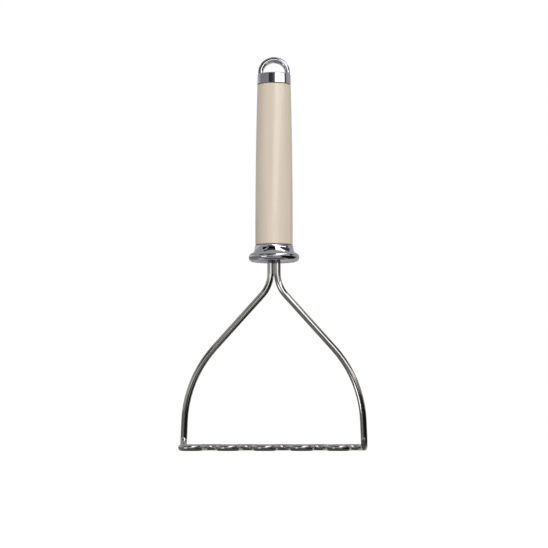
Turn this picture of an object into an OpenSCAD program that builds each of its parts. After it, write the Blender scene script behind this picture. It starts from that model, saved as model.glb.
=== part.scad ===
// Wire-head potato masher, upright on its mashing head.
// Millimetres. +Z runs from the head up to the hanging loop, X is across the wide side of the
// head and Y through its depth. The origin is at the middle of the head, on the surface it stands on.

/* [Wire] */
// Diameter of the stainless wire
wire_d = 4.5; // [3.5:0.1:5]
// Number of parallel runs across the mashing head, an odd number
run_count = 11; // [7:2:13]
// Spacing of the runs, centre to centre
run_pitch = 12.2; // [11.5:0.1:14]
// Depth of the mashing head, outside to outside
head_depth = 76; // [60:1:90]
// Bend radius at the foot of each leg
foot_bend_r = 7; // [5:0.5:10]

/* [Frame] */
// Height where the legs start to swing inwards
shoulder_z = 48.4; // [40:0.2:60]
// How far inside the outer run each shoulder corner stands
shoulder_inset = 1.8; // [0:0.1:6]
// Bend radius of the shoulders
shoulder_bend_r = 78; // [50:1:90]
// Height where the legs come together under the ferrule
neck_z = 111.6; // [105:0.2:117]
// Bend radius of the neck
neck_bend_r = 22.4; // [12:0.2:24]
// Clear gap between the two wires in the neck
neck_gap = 0.1; // [0.05:0.05:1]

/* [Handle] */
// Height of the ferrule's rim, at its widest
rim_z = 130.8; // [130:0.1:132]
// Widest diameter of the ferrule's rim
rim_d = 34.4; // [34:0.1:36]
// Height of the joint between ferrule and grip
grip_bottom_z = 139.1; // [139:0.1:142]
// Height of the joint between grip and end cap
grip_top_z = 248.9; // [235:0.1:260]
// Widest diameter of the grip
grip_d = 25.4; // [25:0.1:26.4]
// Height at which the grip is widest
grip_wide_z = 152; // [145:1:180]
// Diameter of the grip at the end cap
grip_top_d = 22.8; // [22.4:0.1:24]
// Wall of the grip shell at its lower end
grip_wall = 2.8; // [2.5:0.1:3]

/* [End cap] */
// Height of the end cap's shoulder above the grip
cap_h = 7.4; // [6:0.1:10]
// Outside diameter of the hanging loop
loop_d = 21.8; // [20:0.1:22]
// Thickness of the loop, seen from the front
loop_t = 3.4; // [3.2:0.1:4]
// Depth of the loop, front to back
loop_depth = 8; // [6:0.1:10]

/* [Hidden] */

$fn = 96;
wire_fn = 32;
wire_r = wire_d / 2;
fit = 0.05;                // clearance between pieces that are pushed together
eps = 0.01;

// Bends are a hair thinner than the straights, which lap into them, so no two surfaces coincide
bend_thinning = 0.02;
lap = 0.3;

// Head and frame
run_end_y = head_depth / 2 - wire_r;
outer_run_x = (run_count - 1) * run_pitch / 2;
tail_x = wire_r + neck_gap / 2;
shoulder_x = outer_run_x - shoulder_inset;

// Ferrule
rim_r = 3;                 // radius of the rolled rim
rim_centre_r = rim_d / 2 - rim_r;
collar_r = grip_d / 2 + 0.3;
collar_h = 0.6;            // straight height above the flare
flare_z = grip_bottom_z - collar_h;
flare_h = flare_z - rim_z - rim_r;
flare_w = rim_centre_r - collar_r;
flare_r = (flare_w * flare_w + flare_h * flare_h) / (2 * flare_w);
base_recess = 0.7;         // how far the flat underside stands above the rim's lowest point
base_z = rim_z - rim_r + base_recess;
base_t = 2.4;
spigot_r = grip_d / 2 - grip_wall - fit;
spigot_top_z = grip_bottom_z + 13.5;
cavity_r = 7.5;
joint_gap = 0.3;           // gap at both ends of the grip, which a thin seal fills
groove_depth = 0.5;        // how far the seals sit in from the grip's surface

// Tang socket, which holds both wire ends
socket_z = base_z + base_t + fit;
socket_h = 30;
socket_r = cavity_r - fit;
tail_top_z = socket_z + 13;
pin_r = 1.5;
pin_z = tail_top_z + pin_r + 1;

// Tie rod, with a rolled thread at each end
rod_r = 2.5;
thread_pitch = 0.8;
thread_depth = 0.45;
rod_bottom_z = pin_z + pin_r + 1;
rod_top_z = grip_top_z - 2;
nut_flats = 8;
nut_h = 4;
nut_z = socket_z + socket_h + fit;
washer_t = 1.2;
washer_r = 4.4;

// Grip shell
bore_r = spigot_r + fit;
top_bore_r = 9;
bore_step_z = grip_top_z - 20;
grip_curve = pow(grip_top_z - grip_wide_z, 2) / (grip_d - grip_top_d);
edge_r = 0.5;              // rounding of the grip's two ends

// Grip core, a ribbed moulding that keeps the rod central
core_bottom_z = nut_z + nut_h + washer_t + 2 * fit;
core_top_z = bore_step_z - 0.5;
core_tube_r = 4.8;
core_disc_r = bore_r - fit;
core_disc_t = 2.5;
core_ribs = 6;
core_rib_t = 1.6;
core_rib_r = core_disc_r - 1.2;

// End cap
cap_z = grip_top_z + cap_h;
cap_edge_r = 0.7;
cap_bottom_r = grip_top_d / 2 + 0.05;
cap_top_r = loop_d / 2 + 0.4;
cap_spigot_r = top_bore_r - fit;
cap_spigot_h = 12;
insert_r = 4.2;
insert_waist_r = 3.7;
insert_h = 10;
insert_z = grip_top_z - cap_spigot_h;
loop_z = cap_z + 0.8;      // centre of the loop's arch
loop_mid_r = (loop_d - loop_t) / 2;
loop_edge_r = 1.5;
loop_sink = 4;             // how far the loop's legs run down into the cap

// ---- Path of the wire -------------------------------------------------------------------------

// One side of the frame, from the wire's end in the socket down to the foot
function leg_corners(side) = [
    [side * tail_x, 0, tail_top_z],
    [side * tail_x, 0, neck_z],
    [side * shoulder_x, 0, shoulder_z],
    [side * outer_run_x, 0, wire_r]
];
leg_radii = [0, neck_bend_r, shoulder_bend_r, foot_bend_r];

function run_x(i) = outer_run_x - i * run_pitch;
function run_side(i) = i % 2 == 0 ? 1 : -1;

// Each turn of the serpentine is two square corners rounded to half the pitch
turn_corners = [for (i = [0 : run_count - 2])
    for (k = [0, 1]) [run_x(i + k), run_side(i) * run_end_y, wire_r]];
turn_radii = [for (i = [0 : 2 * run_count - 3]) run_pitch / 2];

function reversed(list) = [for (i = [len(list) - 1 : -1 : 0]) list[i]];

wire_corners = concat(leg_corners(1), turn_corners, reversed(leg_corners(-1)));
wire_radii = concat(leg_radii, turn_radii, reversed(leg_radii));

// ---- Bent wire --------------------------------------------------------------------------------

function unit(v) = v / norm(v);
function heading(corners, i) = unit(corners[i + 1] - corners[i]);
function turn_angle(corners, i) = acos(heading(corners, i - 1) * heading(corners, i));
function is_end(corners, i) = i == 0 || i == len(corners) - 1;

// Length of straight that the rounding of corner i takes up on each side
function setback(corners, radii, i) =
    is_end(corners, i) ? 0 : radii[i] * tan(turn_angle(corners, i) / 2);

function lap_at(corners, i) = is_end(corners, i) ? 0 : lap;

module place(x_axis, y_axis, z_axis, origin)
    multmatrix([for (k = [0 : 2]) [x_axis[k], y_axis[k], z_axis[k], origin[k]]]) children();

module straight(a, b, r) {
    along = unit(b - a);
    aside = unit(cross(along, abs(along.y) > 0.9 ? [0, 0, 1] : [0, 1, 0]));
    place(aside, cross(along, aside), along, a) cylinder(r = r, h = norm(b - a), $fn = wire_fn);
}

module bend(corners, radii, i, r) {
    u = heading(corners, i - 1);
    w = heading(corners, i);
    inward = unit(w - (w * u) * u);
    start = corners[i] - u * setback(corners, radii, i);
    place(-inward, u, cross(-inward, u), start + inward * radii[i])
        rotate_extrude(angle = turn_angle(corners, i), $fn = 4 * wire_fn)
            translate([radii[i], 0]) circle(r, $fn = wire_fn);
}

module bent_wire(corners, radii, r) {
    for (i = [0 : len(corners) - 2]) {
        u = heading(corners, i);
        a = corners[i] + u * setback(corners, radii, i);
        b = corners[i + 1] - u * setback(corners, radii, i + 1);
        if ((b - a) * u > eps)
            straight(a - u * lap_at(corners, i), b + u * lap_at(corners, i + 1), r);
    }
    for (i = [1 : len(corners) - 2]) bend(corners, radii, i, r - bend_thinning);
}

// ---- Shared shapes ----------------------------------------------------------------------------

module tube(z0, z1, r_out, r_in)
    translate([0, 0, z0]) difference() {
        cylinder(r = r_out, h = z1 - z0);
        translate([0, 0, -eps]) cylinder(r = r_in, h = z1 - z0 + 2 * eps);
    }

// Slot with round ends that takes both wire ends side by side, as a cutter with clearance
module tail_slot(z0, z1) {
    for (side = [-1, 1])
        translate([side * tail_x, 0, z0]) cylinder(r = wire_r + fit, h = z1 - z0);
    translate([-tail_x, -wire_r - fit, z0]) cube([2 * tail_x, 2 * (wire_r + fit), z1 - z0]);
}

// Outline of one threaded end, as crests and roots from z0 upwards
function thread(z0, turns, r) = [for (i = [0 : turns - 1])
    for (k = [0, 1]) [r - k * thread_depth, z0 + (i + k / 2) * thread_pitch]];

// Points on an arc about a centre, from angle a0 to a1
function arc(centre, r, a0, a1, steps) = [for (i = [0 : steps])
    centre + r * [cos(a0 + (a1 - a0) * i / steps), sin(a0 + (a1 - a0) * i / steps)]];

// ---- Pieces -----------------------------------------------------------------------------------

module masher_wire()
    color("silver") bent_wire(wire_corners, wire_radii, wire_r);

// The flare leaves the collar and runs out on top of the rolled rim
flare_end = asin(flare_h / flare_r);
rim_start = -90 - acos((rim_z - base_z) / rim_r);
spigot_edge = 0.8;
ferrule_outline = concat(
    [[0, base_z]],
    arc([rim_centre_r, rim_z], rim_r, rim_start, 90, 24),
    arc([collar_r + flare_r, flare_z], flare_r, 180 + flare_end, 180, 10),
    [[collar_r, grip_bottom_z - joint_gap], [spigot_r, grip_bottom_z - joint_gap],
     [spigot_r, spigot_top_z - spigot_edge], [spigot_r - spigot_edge, spigot_top_z],
     [0, spigot_top_z]]);

module ferrule()
    color("gainsboro") difference() {
        rotate_extrude() polygon(ferrule_outline);
        translate([0, 0, base_z + base_t])
            cylinder(r = cavity_r, h = spigot_top_z - base_z);
        tail_slot(base_z - 1, base_z + base_t + eps);
        translate([0, 0, pin_z]) rotate([90, 0, 0])
            cylinder(r = pin_r + fit, h = 2 * grip_d, center = true, $fn = 48);
    }

module tang_socket()
    color("slategray") difference() {
        translate([0, 0, socket_z]) cylinder(r = socket_r, h = socket_h);
        tail_slot(socket_z - eps, tail_top_z + fit);
        translate([0, 0, rod_bottom_z - fit]) cylinder(r = rod_r + fit, h = socket_h);
        translate([0, 0, pin_z]) rotate([90, 0, 0])
            cylinder(r = pin_r + fit, h = 2 * socket_r + 2, center = true, $fn = 48);
    }

// Dowel through the ferrule's spigot and the socket, just above the wire ends
module tang_pin()
    color("dimgray") translate([0, 0, pin_z]) rotate([90, 0, 0])
        cylinder(r = pin_r, h = 2 * spigot_r - 0.6, center = true, $fn = 48);

module ferrule_seal()
    color("black") tube(grip_bottom_z - joint_gap + fit, grip_bottom_z - fit,
                        grip_d / 2 - groove_depth, spigot_r + fit);

// The grip is straight up to its widest height and draws in along a shallow curve above it
function grip_r(z) =
    grip_d / 2 - (z > grip_wide_z ? pow(z - grip_wide_z, 2) / (2 * grip_curve) : 0);
grip_steps = 24;
grip_outline = concat(
    [[bore_r, grip_bottom_z]],
    arc([grip_d / 2 - edge_r, grip_bottom_z + edge_r], edge_r, -90, 0, 4),
    [for (i = [0 : grip_steps])
        let (z = grip_wide_z + (grip_top_z - edge_r - grip_wide_z) * i / grip_steps) [grip_r(z), z]],
    arc([grip_top_d / 2 - edge_r, grip_top_z - edge_r], edge_r, 10, 90, 4),
    [[top_bore_r, grip_top_z], [top_bore_r, bore_step_z], [bore_r, bore_step_z]]);

module grip()
    color("antiquewhite") rotate_extrude() polygon(grip_outline);

module grip_core()
    color("ivory") difference() {
        union() {
            translate([0, 0, core_bottom_z])
                cylinder(r = core_tube_r, h = core_top_z - core_bottom_z, $fn = 48);
            for (z = [core_bottom_z, (core_bottom_z + core_top_z - core_disc_t) / 2,
                      core_top_z - core_disc_t])
                translate([0, 0, z]) cylinder(r = core_disc_r, h = core_disc_t);
            for (i = [0 : core_ribs / 2 - 1])
                translate([0, 0, (core_bottom_z + core_top_z) / 2]) rotate([0, 0, i * 360 / core_ribs])
                    cube([2 * core_rib_r, core_rib_t, core_top_z - core_bottom_z - core_disc_t],
                         center = true);
        }
        translate([0, 0, core_bottom_z - 1])
            cylinder(r = rod_r + 0.3, h = core_top_z - core_bottom_z + 2, $fn = 48);
    }

thread_turns_bottom = ceil((nut_z + nut_h + 1 - rod_bottom_z) / thread_pitch);
thread_turns_top = ceil((insert_h + 1) / thread_pitch);
module tie_rod()
    color("lightsteelblue") rotate_extrude($fn = 48) polygon(concat(
        [[0, rod_bottom_z]],
        thread(rod_bottom_z, thread_turns_bottom, rod_r),
        [[rod_r - thread_depth, rod_bottom_z + thread_turns_bottom * thread_pitch],
         [rod_r - thread_depth, rod_top_z - thread_turns_top * thread_pitch]],
        thread(rod_top_z - thread_turns_top * thread_pitch, thread_turns_top, rod_r),
        [[rod_r - thread_depth, rod_top_z], [0, rod_top_z]]));

module jam_nut()
    color("darkgray") difference() {
        translate([0, 0, nut_z]) cylinder(d = nut_flats / cos(30), h = nut_h, $fn = 6);
        translate([0, 0, nut_z - 1]) cylinder(r = rod_r + fit, h = nut_h + 2, $fn = 48);
    }

// Split washer between the nut and the core
module spring_washer()
    color("gray") difference() {
        tube(nut_z + nut_h + fit, nut_z + nut_h + fit + washer_t, washer_r, rod_r + 0.15);
        translate([rod_r - 0.5, -0.4, nut_z]) cube([4, 0.8, 2 * nut_h]);
    }

module cap_insert()
    color("goldenrod") difference() {
        translate([0, 0, insert_z]) union() {
            cylinder(r = insert_waist_r, h = insert_h, $fn = 48);
            for (z = [0.8, insert_h / 2 + 0.4])
                translate([0, 0, z]) cylinder(r = insert_r, h = insert_h / 2 - 1.2, $fn = 24);
        }
        translate([0, 0, insert_z - 1]) cylinder(r = rod_r + fit, h = insert_h + 2, $fn = 48);
    }

module cap_seal()
    color("black") tube(grip_top_z + fit, grip_top_z + joint_gap - fit,
                        grip_top_d / 2 - groove_depth, cap_spigot_r + fit);

// Section of the loop, a bar with rounded corners, centred on the origin
module loop_section() {
    w = loop_t - 2 * loop_edge_r;
    d = loop_depth - 2 * loop_edge_r;
    square([loop_t, d], center = true);
    square([w, loop_depth], center = true);
    for (x = [-w / 2, w / 2])
        for (y = [-d / 2, d / 2])
            translate([x, y]) circle(loop_edge_r, $fn = 32);
}

module end_cap()
    color("gainsboro") {
        difference() {
            rotate_extrude() polygon(concat(
                [[0, insert_z], [cap_spigot_r - 0.6, insert_z], [cap_spigot_r, insert_z + 0.6],
                 [cap_spigot_r, grip_top_z + joint_gap], [cap_bottom_r, grip_top_z + joint_gap]],
                arc([cap_top_r - cap_edge_r, cap_z - cap_edge_r], cap_edge_r, 3, 90, 6),
                [[0, cap_z]]));
            translate([0, 0, insert_z - eps])
                cylinder(r = insert_r + fit, h = insert_h + 1, $fn = 48);
        }
        translate([0, 0, loop_z]) rotate([90, 0, 0])
            rotate_extrude(angle = 180) translate([loop_mid_r, 0]) loop_section();
        for (side = [-1, 1])
            translate([side * loop_mid_r, 0, cap_z - loop_sink])
                linear_extrude(loop_z - cap_z + loop_sink) loop_section();
    }

masher_wire();
ferrule();
tang_socket();
tang_pin();
ferrule_seal();
grip();
grip_core();
tie_rod();
jam_nut();
spring_washer();
cap_insert();
cap_seal();
end_cap();
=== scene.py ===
import math

import bpy
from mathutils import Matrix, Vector


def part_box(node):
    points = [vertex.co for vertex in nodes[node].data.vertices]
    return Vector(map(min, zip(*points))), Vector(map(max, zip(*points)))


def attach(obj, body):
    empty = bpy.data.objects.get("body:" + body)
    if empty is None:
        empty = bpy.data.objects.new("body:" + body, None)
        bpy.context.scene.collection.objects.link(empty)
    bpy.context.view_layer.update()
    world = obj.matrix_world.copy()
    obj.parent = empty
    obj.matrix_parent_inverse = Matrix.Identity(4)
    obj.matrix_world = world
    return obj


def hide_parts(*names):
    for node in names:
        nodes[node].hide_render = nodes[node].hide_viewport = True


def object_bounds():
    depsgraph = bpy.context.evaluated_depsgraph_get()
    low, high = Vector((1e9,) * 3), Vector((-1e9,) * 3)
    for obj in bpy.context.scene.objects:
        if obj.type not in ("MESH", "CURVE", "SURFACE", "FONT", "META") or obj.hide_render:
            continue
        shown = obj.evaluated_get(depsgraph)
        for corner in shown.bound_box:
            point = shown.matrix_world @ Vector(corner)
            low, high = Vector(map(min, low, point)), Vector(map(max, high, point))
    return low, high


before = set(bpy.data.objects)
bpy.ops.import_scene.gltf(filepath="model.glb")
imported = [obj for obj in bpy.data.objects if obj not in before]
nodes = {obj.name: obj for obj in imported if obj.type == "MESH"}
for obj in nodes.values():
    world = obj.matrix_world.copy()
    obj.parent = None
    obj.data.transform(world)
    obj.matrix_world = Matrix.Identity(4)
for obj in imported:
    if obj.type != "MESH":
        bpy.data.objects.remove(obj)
cadBox = [list(corner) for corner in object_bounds()]
mm = 0.001  # sizes below are in millimetres unless a note says metres
print("frame loaded:", len(nodes), "nodes")


def hexToLinear(code):
    levels = [int(code[i:i + 2], 16) / 255 for i in (1, 3, 5)]
    return [v / 12.92 if v <= 0.04045 else ((v + 0.055) / 1.055) ** 2.4 for v in levels] + [1.0]


# A setting goes to the input of that name or number, or else to the node's own property
def addNode(tree, kind, settings=None, links=None):
    node = tree.nodes.new(kind)
    for key, value in (settings or {}).items():
        if isinstance(key, int) or key in node.inputs:
            node.inputs[key].default_value = value
        else:
            setattr(node, key, value)
    for key, source in (links or {}).items():
        tree.links.new(source, node.inputs[key])
    return node


# ring shapes

def arcPoints(centre, radius, start, end, steps):
    angles = [math.radians(start + (end - start) * i / steps) for i in range(steps + 1)]
    return [(centre[0] + radius * math.cos(a), centre[1] + radius * math.sin(a)) for a in angles]


def roundRing(radius, height, sides):
    turns = [2 * math.pi * i / sides for i in range(sides)]
    return [(radius * math.cos(a), radius * math.sin(a), height) for a in turns]


def lathe(outline, sides):
    return [roundRing(radius, height, sides) for radius, height in outline]


# Joins rings of equal length, in millimetres, into one closed skin
def skin(name, rings, joined=False):
    count = len(rings[0])
    points = [[value * mm for value in point] for ring in rings for point in ring]
    faces = []
    for i in range(len(rings) if joined else len(rings) - 1):
        a = i * count
        b = (i + 1) % len(rings) * count
        faces += [(a + j, a + (j + 1) % count, b + (j + 1) % count, b + j) for j in range(count)]
    if not joined:
        faces += [tuple(reversed(range(count))), tuple(range(len(points) - count, len(points)))]
    mesh = bpy.data.meshes.new(name)
    mesh.from_pydata(points, [], faces)
    piece = bpy.data.objects.new(name, mesh)
    bpy.context.scene.collection.objects.link(piece)
    return piece


# Replaces a piece's mesh by what its modifiers make of it
def settle(piece):
    graph = bpy.context.evaluated_depsgraph_get()
    mesh = bpy.data.meshes.new_from_object(piece.evaluated_get(graph))
    piece.modifiers.clear()
    piece.data = mesh


# Adds a second mesh to a piece, or cuts it out
def combine(piece, other, operation):
    modifier = piece.modifiers.new(other.name, "BOOLEAN")
    modifier.operation = operation
    modifier.solver = "EXACT"
    modifier.object = other
    settle(piece)
    bpy.data.objects.remove(other)


creaseAngle = 32  # degrees, from which two faces meet in a crease and not a soft bend


def finishPiece(piece, material, replaced):
    piece.data.shade_smooth()
    piece.data.set_sharp_from_angle(angle=math.radians(creaseAngle))
    flatten = piece.modifiers.new("evenShading", "WEIGHTED_NORMAL")
    flatten.keep_sharp = True
    settle(piece)
    piece.data.materials.clear()
    piece.data.materials.append(material)
    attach(piece, "root")
    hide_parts(replaced)
    print("made", piece.name, "with", len(piece.data.vertices), "points")


# camera, floor and studio light

cameraSetup = {
    "place": (0.0, -1.404, 0.0073),  # metres
    "pitch": 4.57,                   # degrees above level
    "lens": 136.37,                  # millimetres
    "sensor": 36,                    # millimetres
    "farthest": 30,                  # metres, past the floor's edge
}


def makeCamera():
    lens = bpy.data.cameras.new("studioCamera")
    lens.sensor_width = cameraSetup["sensor"]
    lens.lens = cameraSetup["lens"]
    lens.clip_end = cameraSetup["farthest"]
    camera = bpy.data.objects.new("studioCamera", lens)
    camera.location = cameraSetup["place"]
    camera.rotation_euler = (math.radians(90 + cameraSetup["pitch"]), 0, 0)
    bpy.context.scene.collection.objects.link(camera)
    bpy.context.scene.camera = camera


makeCamera()
bpy.context.scene.view_settings.view_transform = "Standard"

floorDesign = {
    "reach": 12.0,       # metres from the middle to each edge
    "paint": "#F2F2F0",
    "glow": 0.94,        # share of its own light, which keeps the paper white
    "brightness": 1.06,  # of that light
}


def makeFloor():
    reach = floorDesign["reach"]
    mesh = bpy.data.meshes.new("floor")
    mesh.from_pydata([(-reach, -reach, 0), (reach, -reach, 0), (reach, reach, 0), (-reach, reach, 0)],
                     [], [(0, 1, 2, 3)])
    floor = bpy.data.objects.new("floor", mesh)
    bpy.context.scene.collection.objects.link(floor)
    material = bpy.data.materials.new("seamlessPaper")
    material.use_nodes = True
    tree = material.node_tree
    tree.nodes.clear()
    paint = addNode(tree, "ShaderNodeBsdfDiffuse", {"Color": hexToLinear(floorDesign["paint"])})
    glow = addNode(tree, "ShaderNodeEmission", {"Strength": floorDesign["brightness"]})
    both = addNode(tree, "ShaderNodeMixShader", {0: floorDesign["glow"]},
                   {1: paint.outputs[0], 2: glow.outputs[0]})
    addNode(tree, "ShaderNodeOutputMaterial", links={"Surface": both.outputs[0]})
    mesh.materials.append(material)
    floor.visible_glossy = False
    floor.visible_diffuse = False


makeFloor()

# Curved cards round the object, seen only in its gloss.
# Degrees run from straight in front, towards the right, and heights are in metres.
# A leaning card has another turn at its head than at its foot.
studioCards = {
    "softboxTop": {"turn": (8, 27), "headTurn": (12, 76), "height": (0.52, 1.1), "light": 2.5},
    "softboxRoof": {"turn": (12, 80), "height": (1.101, 1.35), "light": 2.5},
    "softboxCap": {"turn": (9, 76), "height": (0.445, 0.519), "light": 2.6},
    "softboxGrip": {"turn": (-14, 14), "headTurn": (6, 56), "height": (0.276, 0.444), "light": 2.2},
    "softboxRim": {"turn": (-44, 30), "height": (0.222, 0.275), "light": 1.3},
    "softboxNeck": {"turn": (-4, 25), "height": (0.15, 0.221), "light": 1.9},
    "softboxDim": {"turn": (-20, -4), "height": (0.15, 0.221), "light": 0.8},
    "softboxGround": {"turn": (-60, -34), "height": (-0.26, -0.07), "light": 2.8},
    "flagRoof": {"turn": (-75, 10), "height": (1.01, 1.4), "light": 0.06},
    "flagCollar": {"turn": (-30, 6), "headTurn": (-50, 10), "height": (0.521, 1.0), "light": 0.004},
    "flagCollarSide": {"turn": (-76, -33), "headTurn": (-76, -70), "height": (0.521, 0.9), "light": 0.004},
    "flagCap": {"turn": (-39, -12), "height": (0.36, 0.519), "light": 0.05},
    "flagCapSide": {"turn": (-12, 1), "height": (0.36, 0.519), "light": 0.1},
    "flagUpper": {"turn": (28, 112), "headTurn": (67, 112), "height": (0.521, 0.98), "light": 0.06},
    "flagSeam": {"turn": (79, 95), "height": (0.345, 0.519), "light": 0.12},
    "flagNeck": {"turn": (26, 98), "height": (0.15, 0.221), "light": 0.01},
    "flagRim": {"turn": (38, 92), "height": (0.222, 0.3), "light": 0.05},
    "flagLow": {"turn": (-12, 118), "height": (-0.05, 0.15), "light": 0.01},
    "flagGround": {"turn": (36, 120), "height": (-1.2, -0.05), "light": 0.01},
    "wallTop": {"turn": (-135, -77), "height": (0.6, 1.6), "light": 0.36},
    "wallHigh": {"turn": (-110, -43), "height": (0.445, 0.519), "light": 0.28},
    "wallCapEdge": {"turn": (-180, -111), "height": (0.445, 0.519), "light": 0.42},
    "wallGrip": {"turn": (-180, -95), "height": (0.266, 0.444), "light": 0.65},
    "wallLow": {"turn": (-180, -13), "height": (-0.05, 0.15), "light": 0.2},
    "wallCentre": {"turn": (-4, 35), "height": (-0.9, -0.05), "light": 0.34},
    "wallGround": {"turn": (-150, -5), "height": (-0.9, -0.27), "light": 0.22},
    "wallGroundLeft": {"turn": (-150, -61), "height": (-0.27, -0.05), "light": 0.22},
    "wallGroundRight": {"turn": (-33, -5), "height": (-0.27, -0.05), "light": 0.22},
}
cardDistance = 1.0  # metres from the object's axis
cardStep = 4        # degrees between the upright edges of a card's faces
# The paper that the head shades, as the wire's gloss sees it, in metres
shadedPaper = {"middle": (0, -0.03, -0.03), "radius": 0.09, "sides": 48, "light": 0.1}
skyLight = {
    "backdrop": 1.0,   # what the camera sees behind the object
    "gloss": 0.45,     # what the gloss sees between the cards
    "fill": 0.54,      # what lights the matt surfaces
}


# A glowing card that only gloss sees
def hangCard(name, points, faces, light):
    mesh = bpy.data.meshes.new(name)
    mesh.from_pydata(points, [], faces)
    piece = bpy.data.objects.new(name, mesh)
    bpy.context.scene.collection.objects.link(piece)
    material = bpy.data.materials.new(name)
    material.use_nodes = True
    tree = material.node_tree
    tree.nodes.clear()
    glow = addNode(tree, "ShaderNodeEmission", {"Strength": light})
    addNode(tree, "ShaderNodeOutputMaterial", links={"Surface": glow.outputs[0]})
    mesh.materials.append(material)
    piece.visible_camera = False
    piece.visible_diffuse = False
    piece.visible_shadow = False


def makeCard(name, card):
    foot = card["turn"]
    head = card.get("headTurn", foot)
    steps = max(2, round((foot[1] - foot[0]) / cardStep))
    points = []
    for z, (start, end) in zip(card["height"], (foot, head)):
        turns = [math.radians(start + (end - start) * i / steps) for i in range(steps + 1)]
        points += [(cardDistance * math.sin(a), -cardDistance * math.cos(a), z) for a in turns]
    faces = [(i, i + 1, i + steps + 2, i + steps + 1) for i in range(steps)]
    hangCard(name, points, faces, card["light"])


def makeShadedPaper():
    x, y, z = shadedPaper["middle"]
    disc = roundRing(shadedPaper["radius"], z, shadedPaper["sides"])
    ring = [(x + dx, y + dy, dz) for dx, dy, dz in disc]
    hangCard("shadedPaper", ring, [tuple(range(len(ring)))], shadedPaper["light"])


for cardName, cardFacts in studioCards.items():
    makeCard(cardName, cardFacts)
makeShadedPaper()


def makeSky():
    world = bpy.data.worlds.new("studio")
    bpy.context.scene.world = world
    world.use_nodes = True
    tree = world.node_tree
    tree.nodes.clear()
    ray = addNode(tree, "ShaderNodeLightPath")
    indirect = addNode(tree, "ShaderNodeMix",
                       {"data_type": "FLOAT", 2: skyLight["fill"], 3: skyLight["gloss"]},
                       {0: ray.outputs["Is Glossy Ray"]})
    strength = addNode(tree, "ShaderNodeMix", {"data_type": "FLOAT", 3: skyLight["backdrop"]},
                       {0: ray.outputs["Is Camera Ray"], 2: indirect.outputs[0]})
    sky = addNode(tree, "ShaderNodeBackground", {"Color": (1, 1, 1, 1)},
                  {"Strength": strength.outputs[0]})
    addNode(tree, "ShaderNodeOutputWorld", links={"Surface": sky.outputs[0]})


makeSky()

# Soft lamps for the matt surfaces, aimed at the middle of the object
studioLamps = {
    "frontSoftbox": {"turn": 10, "rise": 25, "distance": 1.6, "across": 1.2, "watts": 19},
    "backSoftbox": {"turn": 195, "rise": 30, "distance": 1.6, "across": 1.2, "watts": 9},
}


def makeLamp(name, facts):
    lamp = bpy.data.lights.new(name, "AREA")
    lamp.shape = "DISK"
    lamp.size = facts["across"]
    lamp.energy = facts["watts"]
    piece = bpy.data.objects.new(name, lamp)
    turn = math.radians(facts["turn"])
    rise = math.radians(facts["rise"])
    aim = sum((Vector(corner) for corner in cadBox), Vector()) / 2
    away = Vector((math.sin(turn) * math.cos(rise), -math.cos(turn) * math.cos(rise), math.sin(rise)))
    piece.location = aim + away * facts["distance"]
    piece.rotation_euler = away.to_track_quat("Z", "Y").to_euler()
    piece.visible_glossy = False
    bpy.context.scene.collection.objects.link(piece)


for lampName, lampFacts in studioLamps.items():
    makeLamp(lampName, lampFacts)
print("studio ready")


# materials

# Builds a surface whose tone, roughness and relief each vary in patches of their own size. A patch is
# (x, y, z) millimetres on the object, or in the coordinates of an attribute that its mesh carries.
def patchySurface(name, settings, patches, attribute=None):
    material = bpy.data.materials.new(name)
    material.use_nodes = True
    tree = material.node_tree
    tree.nodes.clear()
    if attribute:
        place = addNode(tree, "ShaderNodeAttribute", {"attribute_name": attribute}).outputs["Vector"]
    else:
        place = addNode(tree, "ShaderNodeTexCoord").outputs["Object"]
    perMm = 1 if attribute else 1 / mm
    links = {}
    for feature, (patch, detail, low, high) in patches.items():
        cells = addNode(tree, "ShaderNodeVectorMath",
                        {"operation": "MULTIPLY", 1: [perMm / size for size in patch]}, {0: place})
        noise = addNode(tree, "ShaderNodeTexNoise", {"Scale": 1.0, "Detail": detail, "Roughness": 0.55},
                        {"Vector": cells.outputs[0]})
        # most of the noise lies in the middle of its range, which is spread over the whole one
        spread = addNode(tree, "ShaderNodeMapRange", {"From Min": 0.3, "From Max": 0.7},
                         {"Value": noise.outputs[0]})
        if feature == "tone":
            tone = addNode(tree, "ShaderNodeMix",
                           {"data_type": "RGBA", 6: hexToLinear(low), 7: hexToLinear(high)},
                           {0: spread.outputs[0]})
            links["Base Color"] = tone.outputs[2]
        elif feature == "roughness":
            spread.inputs["To Min"].default_value = low
            spread.inputs["To Max"].default_value = high
            links["Roughness"] = spread.outputs[0]
        else:
            relief = addNode(tree, "ShaderNodeBump", {"Distance": (high - low) * mm},
                             {"Height": spread.outputs[0]})
            links["Normal"] = relief.outputs[0]
    shader = addNode(tree, "ShaderNodeBsdfPrincipled", settings, links)
    addNode(tree, "ShaderNodeOutputMaterial", links={"Surface": shader.outputs[0]})
    return material


# In each recipe a feature has its patch, its noise detail, and its lowest and highest value:
# colours for tone, and millimetres for relief

# 18/10 stainless wire, drawn through a die and tumbled bright: hard reflections that faint
# draw lines pull out along the wire. Real draw lines are about 0.05 mm apart, drawn here at 0.4 mm.
def drawnStainlessWire():
    recipe = {
        "tone": ((7, 7, 7), 3, "#C9C7C4", "#BDBAB5"),
        "roughness": ((0.4, 0.4, 40), 3, 0.08, 0.12),
        "relief": ((0.4, 0.4, 40), 2, 0, 0.0001),
    }
    return patchySurface("drawnStainlessWire", {"Metallic": 1.0}, recipe, "wirePlace")


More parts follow.
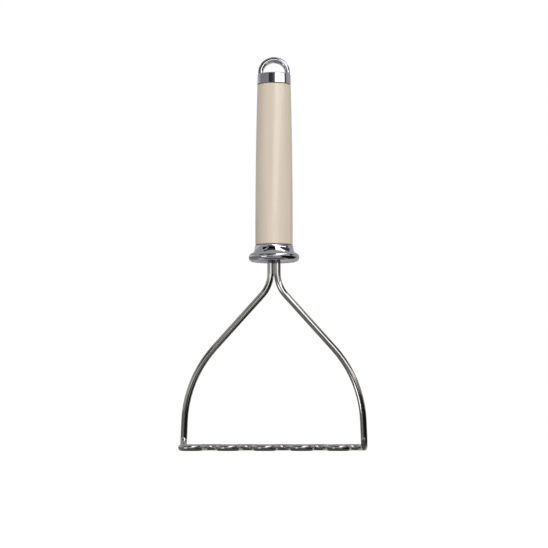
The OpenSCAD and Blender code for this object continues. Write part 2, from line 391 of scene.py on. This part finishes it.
# Zinc casting, buffed and bright chrome plated: a cool mirror with a little buffing haze
def brightChromePlate():
    recipe = {
        "tone": ((6, 6, 6), 4, "#D3D3DA", "#C8C8D0"),
        "roughness": ((6, 6, 6), 4, 0.025, 0.07),
        "relief": ((3.5, 3.5, 3.5), 1, 0, 0.002),
    }
    return patchySurface("brightChromePlate", {"Metallic": 1.0}, recipe)


# ABS, injection moulded in a polished tool: glossy cream plastic, with slow flow shading along
# the grip and the slight orange peel of a moulded skin
def mouldedCreamAbs():
    recipe = {
        "tone": ((7, 7, 60), 2, "#CFC1B1", "#CABBAA"),
        "roughness": ((9, 9, 9), 3, 0.09, 0.14),
        "relief": ((1.6, 1.6, 1.6), 2, 0, 0.0012),
    }
    return patchySurface("mouldedCreamAbs", {"IOR": 1.54}, recipe)


# Steel with a clear-passivated zinc plate: dull bluish grey with a fine spangle
def zincPlatedSteel():
    recipe = {
        "tone": ((0.9, 0.9, 0.9), 3, "#A9ABB0", "#8F9196"),
        "roughness": ((0.9, 0.9, 0.9), 3, 0.28, 0.45),
        "relief": ((0.9, 0.9, 0.9), 3, 0, 0.004),
    }
    return patchySurface("zincPlatedSteel", {"Metallic": 1.0}, recipe)


# Natural nylon 66, injection moulded: waxy off-white with a matt spark-eroded skin
def mouldedNylon():
    recipe = {
        "tone": ((8, 8, 8), 2, "#E9E4D4", "#DED8C6"),
        "roughness": ((0.35, 0.35, 0.35), 2, 0.42, 0.58),
        "relief": ((0.35, 0.35, 0.35), 2, 0, 0.008),
    }
    return patchySurface("mouldedNylon", {"IOR": 1.53}, recipe)


# Free-machining brass, turned: warm yellow with fine feed rings. A real feed is about 0.1 mm a turn,
# drawn here at 0.3 mm.
def turnedBrass():
    recipe = {
        "tone": ((9, 9, 0.3), 2, "#D8B25E", "#C69C48"),
        "roughness": ((9, 9, 0.3), 2, 0.2, 0.34),
        "relief": ((9, 9, 0.3), 2, 0, 0.004),
    }
    return patchySurface("turnedBrass", {"Metallic": 1.0}, recipe)


# Nitrile rubber, compression moulded: near black and matt, with a fine bloom
def mouldedRubber():
    recipe = {
        "tone": ((1.2, 1.2, 1.2), 3, "#1B1A1A", "#262524"),
        "roughness": ((1.2, 1.2, 1.2), 3, 0.6, 0.8),
        "relief": ((1.2, 1.2, 1.2), 3, 0, 0.004),
    }
    return patchySurface("mouldedRubber", {"IOR": 1.52}, recipe)


wireMetal = drawnStainlessWire()
chrome = brightChromePlate()
gripPlastic = mouldedCreamAbs()

# the inner pieces and seals keep their own shapes
innerFinishes = {
    "tang_socket": zincPlatedSteel(),
    "grip_core": mouldedNylon(),
    "cap_insert": turnedBrass(),
    "ferrule_seal": mouldedRubber(),
}
innerFinishes["cap_seal"] = innerFinishes["ferrule_seal"]
for steelNode in ("tang_pin", "tie_rod", "jam_nut", "spring_washer"):
    innerFinishes[steelNode] = innerFinishes["tang_socket"]
for nodeName, finish in innerFinishes.items():
    for materialSlot in nodes[nodeName].material_slots:
        materialSlot.material = finish
print("materials ready")


def boxInMm(node):
    low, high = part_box(node)
    return low / mm, high / mm


# bent wire

wireDesign = {
    "thickness": 4.5,
    "runs": 11,
    "shoulderHeight": 48.4,
    "shoulderInset": 1.8,
    "neckHeight": 111.6,
    "neckGap": 0.1,
    "shoulderBend": 78,
    "neckBend": 22.4,
    "footBend": 7,
    "sides": 32,
    "arcStep": 4,        # degrees between rings in a bend
    "fewestSteps": 4,    # in a bend
    "straightStep": 6,   # between rings along a straight
    "sameSpot": 0.01,    # points closer than this count as one
    "endBevel": 0.4,
}


# Rounds the corners of a path with true arcs, which take equal lengths of both sides
def roundedPath(corners, bends):
    straightStep = wireDesign["straightStep"]
    path = []

    def reachTo(point):
        if path:
            start = path[-1]
            count = max(1, round((point - start).length / straightStep))
            path.extend(start + (point - start) * i / count for i in range(1, count))
        path.append(point)

    reachTo(corners[0])
    for before, corner, after, bend in zip(corners, corners[1:], corners[2:], bends):
        arrive = (corner - before).normalized()
        leave = (after - corner).normalized()
        turn = arrive.angle(leave)
        setback = bend * math.tan(turn / 2)
        inward = (leave - arrive * arrive.dot(leave)).normalized()
        start = corner - arrive * setback
        if (start - path[-1]).length > wireDesign["sameSpot"]:
            reachTo(start)
        steps = max(wireDesign["fewestSteps"], round(math.degrees(turn) / wireDesign["arcStep"]))
        for i in range(1, steps + 1):
            a = turn * i / steps
            path.append(start + arrive * bend * math.sin(a) + inward * bend * (1 - math.cos(a)))
    reachTo(corners[-1])
    return path


def wirePath():
    low, high = boxInMm("masher_wire")
    radius = wireDesign["thickness"] / 2
    outerX = high.x - radius
    endY = high.y - radius
    pitch = 2 * outerX / (wireDesign["runs"] - 1)

    def leg(side):
        tailX = side * (radius + wireDesign["neckGap"] / 2)
        return [Vector((tailX, 0, high.z)), Vector((tailX, 0, wireDesign["neckHeight"])),
                Vector((side * (outerX - wireDesign["shoulderInset"]), 0, wireDesign["shoulderHeight"])),
                Vector((side * outerX, 0, radius))]

    turns = []
    for i in range(wireDesign["runs"] - 1):
        y = endY if i % 2 == 0 else -endY
        turns += [Vector((outerX - (i + k) * pitch, y, radius)) for k in (0, 1)]
    legBends = [wireDesign["neckBend"], wireDesign["shoulderBend"], wireDesign["footBend"]]
    bends = legBends + [pitch / 2] * len(turns) + legBends[::-1]
    return roundedPath(leg(1) + turns + leg(-1)[::-1], bends)


# Rings round a path, carried along without twist, and the wire's own coordinates for its grain
def wireRings(path):
    radius = wireDesign["thickness"] / 2
    bevel = wireDesign["endBevel"]
    sides = wireDesign["sides"]
    headings = [(b - a).normalized() for a, b in zip(path, path[1:])]
    rings, places = [], []
    aside = Vector((0, 1, 0))
    travelled = 0.0
    for i, point in enumerate(path):
        ahead = (headings[max(i - 1, 0)] + headings[min(i, len(headings) - 1)]).normalized()
        aside = (aside - ahead * aside.dot(ahead)).normalized()
        across = ahead.cross(aside)
        travelled += (point - path[i - 1]).length if i else 0
        if i == 0:
            stations = [(0, radius - bevel), (bevel, radius)]
        elif i == len(path) - 1:
            stations = [(-bevel, radius), (0, radius - bevel)]
        else:
            stations = [(0, radius)]
        for shift, size in stations:
            turns = [2 * math.pi * k / sides for k in range(sides)]
            rings.append([point + ahead * shift + (aside * math.cos(a) + across * math.sin(a)) * size
                          for a in turns])
            places += [(size * math.cos(a), size * math.sin(a), travelled + shift) for a in turns]
    return rings, places


def makeWire():
    rings, places = wireRings(wirePath())
    piece = skin("bent_wire", rings)
    grain = piece.data.attributes.new("wirePlace", "FLOAT_VECTOR", "POINT")
    grain.data.foreach_set("vector", [value for place in places for value in place])
    finishPiece(piece, wireMetal, "masher_wire")


makeWire()

# ferrule

ferruleDesign = {
    "rimWidth": 34.4,
    "rimRoll": 3,
    "collarProud": 0.3,    # of the grip
    "collarHeight": 0.6,
    "edge": 0.35,
    "jointGap": 0.3,
    "recess": 0.7,         # of the base above the rim's lowest point
    "base": 2.4,
    "baseReach": 1.6,      # from the roll's centre in to a ring on the flat base, in roll radii
    "cavity": 7.5,
    "spigotEdge": 0.8,
    "gripWall": 2.85,
    "slotClearance": 0.05,
    "slotBevel": 0.25,
    "pinClearance": 0.05,
    "pinSides": 32,
    "sides": 160,
    "rollSteps": 40,
    "flareSteps": 12,
    "edgeSteps": 6,
}


# Stadium round both wires, with as many points as the round rings, grown outwards by a margin
def slotRing(height, grow, sides):
    reach = (wireDesign["thickness"] + wireDesign["neckGap"]) / 2
    radius = wireDesign["thickness"] / 2 + ferruleDesign["slotClearance"] + grow
    ring = []
    for i in range(sides):
        a = 2 * math.pi * i / sides
        side = 1 if math.cos(a) >= 0 else -1
        # a ray from the middle meets either a flat side or a round end
        flatX = radius * math.cos(a) / max(abs(math.sin(a)), 1e-9)
        if abs(flatX) <= reach:
            ring.append((flatX, math.copysign(radius, math.sin(a)), height))
        else:
            c = reach * math.cos(a) * side
            run = c + math.sqrt(c * c - reach * reach + radius * radius)
            ring.append((run * math.cos(a), run * math.sin(a), height))
    return ring


def makePinHole():
    low, high = boxInMm("tang_pin")
    radius = (high.x - low.x) / 2 + ferruleDesign["pinClearance"]
    middle = (low.z + high.z) / 2
    circle = roundRing(radius, 0, ferruleDesign["pinSides"])
    # the cutter runs 1 mm past both ends of the pin
    return skin("pin_hole", [[(x, y, middle + z) for x, z, _ in circle]
                             for y in (high.y + 1, low.y - 1)])


def makeFerrule():
    low, high = boxInMm("ferrule")
    gripLow, gripHigh = boxInMm("grip")
    roll = ferruleDesign["rimRoll"]
    rimHeight = low.z + roll
    rimCentre = ferruleDesign["rimWidth"] / 2 - roll
    collar = gripHigh.x + ferruleDesign["collarProud"]
    joint = gripLow.z - ferruleDesign["jointGap"]
    flareHeight = gripLow.z - ferruleDesign["collarHeight"]
    rise = flareHeight - rimHeight - roll
    spread = rimCentre - collar
    flare = (spread * spread + rise * rise) / (2 * spread)
    flareTurn = math.degrees(math.asin(rise / flare))
    base = low.z + ferruleDesign["recess"]
    baseTop = base + ferruleDesign["base"]
    rimStart = -90 - math.degrees(math.acos((rimHeight - base) / roll))
    spigot = gripHigh.x - ferruleDesign["gripWall"]
    edge = ferruleDesign["edge"]
    spigotEdge = ferruleDesign["spigotEdge"]
    sides = ferruleDesign["sides"]
    outline = [(rimCentre - roll * ferruleDesign["baseReach"], base)]
    outline += arcPoints((rimCentre, rimHeight), roll, rimStart, 90, ferruleDesign["rollSteps"])
    outline += arcPoints((collar + flare, flareHeight), flare, 180 + flareTurn, 180,
                         ferruleDesign["flareSteps"])
    outline += arcPoints((collar - edge, joint - edge), edge, 0, 90, ferruleDesign["edgeSteps"])
    outline += [(spigot, joint), (spigot, high.z - spigotEdge), (spigot - spigotEdge, high.z),
                (ferruleDesign["cavity"], high.z), (ferruleDesign["cavity"], baseTop)]
    bevel = ferruleDesign["slotBevel"]
    rings = [slotRing(base, 2 * bevel, sides)] + lathe(outline, sides) + [slotRing(baseTop, 0, sides)]
    rings += [slotRing(base + bevel, 0, sides), slotRing(base, bevel, sides)]
    ferrule = skin("ferrule_shell", rings, joined=True)
    combine(ferrule, makePinHole(), "DIFFERENCE")
    finishPiece(ferrule, chrome, "ferrule")


makeFerrule()

# grip

gripDesign = {
    "wideHeight": 152,
    "topWidth": 22.8,
    "bore": 9.9,
    "topBore": 9,
    "boreStep": 20,       # down from the top
    "edge": 0.7,
    "edgeSteps": 7,
    "sideFrom": 3,        # first ring of the side, up from the foot
    "sideTo": 1,          # last ring of the side, down from the top
    "sideSteps": 48,
    "topSlope": 4,        # degrees that the side leans in at its top edge
    "sides": 160,
}


def makeGrip():
    low, high = boxInMm("grip")
    wide = high.x
    top = gripDesign["topWidth"] / 2
    wideHeight = gripDesign["wideHeight"]
    edge = gripDesign["edge"]
    bore = gripDesign["bore"]
    stepHeight = high.z - gripDesign["boreStep"]

    # straight as far as the widest height, then drawn in along a shallow curve
    def radiusAt(z):
        return wide - (wide - top) * (max(z - wideHeight, 0) / (high.z - wideHeight)) ** 2

    edgeSteps = gripDesign["edgeSteps"]
    sideLow = low.z + gripDesign["sideFrom"]
    sideHigh = high.z - gripDesign["sideTo"]
    outline = [(bore, low.z)] + arcPoints((wide - edge, low.z + edge), edge, -90, 0, edgeSteps)
    for i in range(gripDesign["sideSteps"] + 1):
        z = sideLow + (sideHigh - sideLow) * i / gripDesign["sideSteps"]
        outline.append((radiusAt(z), z))
    outline += arcPoints((top - edge, high.z - edge), edge, gripDesign["topSlope"], 90, edgeSteps)
    outline += [(gripDesign["topBore"], high.z), (gripDesign["topBore"], stepHeight), (bore, stepHeight)]
    finishPiece(skin("grip_shell", lathe(outline, gripDesign["sides"]), joined=True),
                gripPlastic, "grip")


makeGrip()

# end cap with its hanging loop

capDesign = {
    "topWidth": 22.6,
    "topSlope": 2,        # degrees that the side leans in at its top edge
    "edge": 0.7,
    "edgeSteps": 10,
    "jointGap": 0.3,
    "jointBevel": 0.2,
    "spigot": 8.95,
    "spigotEdge": 0.6,
    "insertBore": 4.25,
    "insertDepth": 11,
    "sides": 160,
    "loopWidth": 21.8,
    "loopBar": 3.4,       # seen from the front
    "loopDepth": 8,
    "loopCorner": 1.5,
    "cornerSteps": 8,
    "loopRise": 0.8,      # of the arch's centre above the cap
    "loopSunk": 4,
    "loopFillet": 0.9,
    "filletStep": 15,     # degrees between rings in the fillet
    "loopStep": 4,        # degrees between rings in the arch
}


# Bar section as (front to back, outwards) points with the way each one faces
def barSection():
    corner = capDesign["loopCorner"]
    halfDepth = capDesign["loopDepth"] / 2 - corner
    halfBar = capDesign["loopBar"] / 2 - corner
    steps = capDesign["cornerSteps"]
    section = []
    for quarter, (v, u) in enumerate([(1, 1), (-1, 1), (-1, -1), (1, -1)]):
        for i in range(steps + 1):
            a = math.radians(90 * quarter + 90 * i / steps)
            facing = (math.cos(a), math.sin(a))
            section.append((v * halfDepth + corner * facing[0], u * halfBar + corner * facing[1], facing))
    return section


def makeLoop(capTop, centreHeight):
    middle = (capDesign["loopWidth"] - capDesign["loopBar"]) / 2
    fillet = capDesign["loopFillet"]
    section = barSection()
    # stations along the loop: angle round the arch, height below its centre, growth of the section
    filletRise = [fillet * (1 - math.cos(math.radians(a))) for a in range(0, 91, capDesign["filletStep"])]
    foot = [(centreHeight - capTop - rise, fillet * (1 - math.sqrt(max(0, 1 - (1 - rise / fillet) ** 2))))
            for rise in filletRise if rise < centreHeight - capTop]
    foot = [(centreHeight - capTop + capDesign["loopSunk"], foot[0][1])] + foot
    steps = round(180 / capDesign["loopStep"])
    stations = [(180, drop, growth) for drop, growth in foot]
    stations += [(180 - 180 * i / steps, 0, 0) for i in range(steps + 1)]
    stations += [(0, drop, growth) for drop, growth in foot[::-1]]
    rings = []
    for angle, drop, growth in stations:
        a = math.radians(angle)
        out = Vector((math.cos(a), 0, math.sin(a)))
        centre = Vector((0, 0, centreHeight - drop)) + out * middle
        rings.append([centre + Vector((0, 1, 0)) * (v + growth * facing[0])
                      + out * (u + growth * min(facing[1], 0)) for v, u, facing in section])
    return skin("hanging_loop", rings)


def makeCap():
    low, high = boxInMm("end_cap")
    gripHigh = boxInMm("grip")[1]
    centreHeight = high.z - capDesign["loopWidth"] / 2
    capTop = centreHeight - capDesign["loopRise"]
    joint = gripHigh.z + capDesign["jointGap"]
    edge = capDesign["edge"]
    spigot = capDesign["spigot"]
    spigotEdge = capDesign["spigotEdge"]
    bevel = capDesign["jointBevel"]
    bore = capDesign["insertBore"]
    top = capDesign["topWidth"] / 2
    outline = [(bore, low.z + capDesign["insertDepth"]), (bore, low.z),
               (spigot - spigotEdge, low.z), (spigot, low.z + spigotEdge), (spigot, joint),
               (high.x - bevel, joint), (high.x, joint + bevel)]
    outline += arcPoints((top - edge, capTop - edge), edge, capDesign["topSlope"], 90,
                         capDesign["edgeSteps"])
    outline.append((top - 2 * edge, capTop))
    cap = skin("end_cap_shell", lathe(outline, capDesign["sides"]))
    combine(cap, makeLoop(capTop, centreHeight), "UNION")
    finishPiece(cap, chrome, "end_cap")


makeCap()
